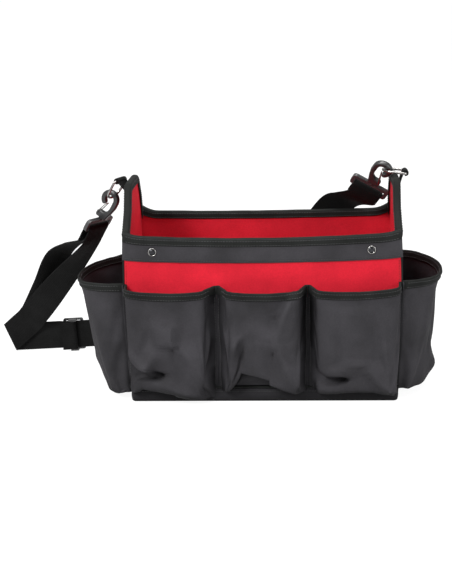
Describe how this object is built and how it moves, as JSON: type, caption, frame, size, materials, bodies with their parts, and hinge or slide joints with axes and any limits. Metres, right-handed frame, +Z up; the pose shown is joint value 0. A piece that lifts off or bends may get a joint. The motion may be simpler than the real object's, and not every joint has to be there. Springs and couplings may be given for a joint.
{
  "type": "garden tool bag",
  "caption": "Open-topped rectangular fabric tool bag with raised end walls, outside pockets all round and a clip-on webbing shoulder strap.",
  "frame": {"origin": "centre of the underside of the base, where the bag rests", "axes": "+X to the right along the bag, -Y is the front, +Z up"},
  "size_m": [0.7559, 0.2975, 0.3637],
  "materials": {
    "red_cloth": "plain woven polyester, matt",
    "black_cloth": "plain woven polyester, matt",
    "binding": "ribbed binding tape, matt",
    "webbing": "woven webbing, matt",
    "board": "stiffening board, matt",
    "plastic": "moulded, satin",
    "wire": "nickel plated",
    "studs": "dark plated"
  },
  "bodies": {
    "bag": {"back_board": "board", "back_centre_pocket": "black_cloth", "back_centre_pocket_binding": "binding", "back_left_pocket": "black_cloth", "back_left_pocket_binding": "binding", "back_lining": "red_cloth", "back_panel": "red_cloth", "back_right_pocket": "black_cloth", "back_right_pocket_binding": "binding", "back_rim_binding": "binding", "back_top_band": "black_cloth", "base_board": "red_cloth", "base_piping": "binding", "base_tray": "black_cloth", "front_board": "board", "front_centre_pocket": "black_cloth", "front_centre_pocket_binding": "binding", "front_left_pocket": "black_cloth", "front_left_pocket_binding": "binding", "front_left_stud": "studs", "front_lining": "red_cloth", "front_panel": "red_cloth", "front_right_pocket": "black_cloth", "front_right_pocket_binding": "binding", "front_right_stud": "studs", "front_rim_binding": "binding", "front_top_band": "black_cloth", "left_end_binding": "binding", "left_end_board": "board", "left_end_lining": "red_cloth", "left_end_panel": "red_cloth", "left_end_pocket": "black_cloth", "left_end_pocket_binding": "binding", "left_ring_tab": "webbing", "right_end_binding": "binding", "right_end_board": "board", "right_end_lining": "red_cloth", "right_end_panel": "red_cloth", "right_end_pocket": "black_cloth", "right_end_pocket_binding": "binding", "right_ring_tab": "webbing", "shoulder_strap": "webbing", "strap_return": "webbing"},
    "left_ring": {"left_d_ring": "wire"},
    "left_hook": {"left_hook": "plastic"},
    "left_gate": {"left_hook_gate": "wire"},
    "left_swivel": {"left_hook_swivel": "plastic", "left_strap_loop": "webbing"},
    "right_ring": {"right_d_ring": "wire"},
    "right_hook": {"right_hook": "plastic"},
    "right_gate": {"right_hook_gate": "wire"},
    "right_swivel": {"right_hook_swivel": "plastic", "right_strap_loop": "webbing"},
    "slider": {"slider": "plastic", "slider_loop": "webbing"}
  },
  "joints": [
    {"name": "left_ring_swing", "type": "hinge", "parent": "bag", "child": "left_ring", "pos_m": [-0.2275, 0, 0.337], "axis": [0.423, 0.9061, 0], "range_deg": [0, 50]},
    {"name": "left_hook_turn", "type": "hinge", "parent": "left_ring", "child": "left_hook", "pos_m": [-0.27132, 0.02046, 0.26253], "axis": [0.4935, -0.2304, 0.8387], "range_deg": [-15, 15]},
    {"name": "left_swivel_turn", "type": "hinge", "parent": "left_hook", "child": "left_swivel", "pos_m": [-0.27132, 0.02046, 0.26253], "axis": [0.4935, -0.2304, 0.8387], "range_deg": [-15, 15]},
    {"name": "left_gate_open", "type": "hinge", "parent": "left_hook", "child": "left_gate", "pos_m": [-0.26928, 0.01951, 0.28252], "axis": [0.423, 0.9061, 0], "range_deg": [0, 14], "stiffness_Nm_per_rad": 0.05, "springref_deg": -11.46},
    {"name": "right_ring_swing", "type": "hinge", "parent": "bag", "child": "right_ring", "pos_m": [0.2255, 0, 0.3435], "axis": [0, 1, 0], "range_deg": [0, 60]},
    {"name": "right_hook_turn", "type": "hinge", "parent": "right_ring", "child": "right_hook", "pos_m": [0.17102, 0.03117, 0.31476], "axis": [0.3849, -0.6298, 0.6747], "range_deg": [-6, 15]},
    {"name": "right_swivel_turn", "type": "hinge", "parent": "right_hook", "child": "right_swivel", "pos_m": [0.17102, 0.03117, 0.31476], "axis": [0.3849, -0.6298, 0.6747], "range_deg": [-15, 6]},
    {"name": "right_gate_open", "type": "hinge", "parent": "right_hook", "child": "right_gate", "pos_m": [0.18576, 0.01984, 0.32245], "axis": [-0.312, -0.7768, -0.547], "range_deg": [0, 14], "stiffness_Nm_per_rad": 0.05, "springref_deg": -11.46},
    {"name": "slider_slide", "type": "slide", "parent": "bag", "child": "slider", "axis": [0.999, 0, 0.0454], "range_m": [-0.02, 0.02]}
  ],
  "couplings": [
    {"joint": "left_swivel_turn", "follows": "left_hook_turn", "ratio": -1},
    {"joint": "right_swivel_turn", "follows": "right_hook_turn", "ratio": -1}
  ]
}
